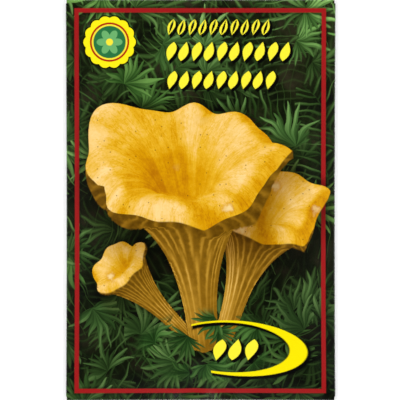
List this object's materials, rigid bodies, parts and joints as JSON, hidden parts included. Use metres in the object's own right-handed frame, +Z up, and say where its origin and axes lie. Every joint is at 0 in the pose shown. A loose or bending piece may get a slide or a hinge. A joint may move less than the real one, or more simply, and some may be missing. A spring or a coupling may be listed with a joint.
{
  "type": "mushroom spawn packet",
  "caption": "Flat rectangular paper packet, folded from one printed sheet and glued shut, holding mushroom spawn on grain; it lies on its back.",
  "frame": {"origin": "on the surface that the packet lies on, under the middle of its outline", "axes": "+Z up, out of the printed front; +Y towards the packet's top edge; +X to the right of someone looking at the front"},
  "size_m": [0.1, 0.149, 0.0057],
  "materials": {
    "printed_paper": "satin",
    "dried_glue": "satin",
    "spawn_grain": "matte"
  },
  "bodies": {
    "root": {"folded_packet": "printed_paper", "side_seam_glue": "dried_glue", "bottom_flap_glue": "dried_glue", "top_flap_glue": "dried_glue", "spawn": "spawn_grain"}
  },
  "joints": []
}
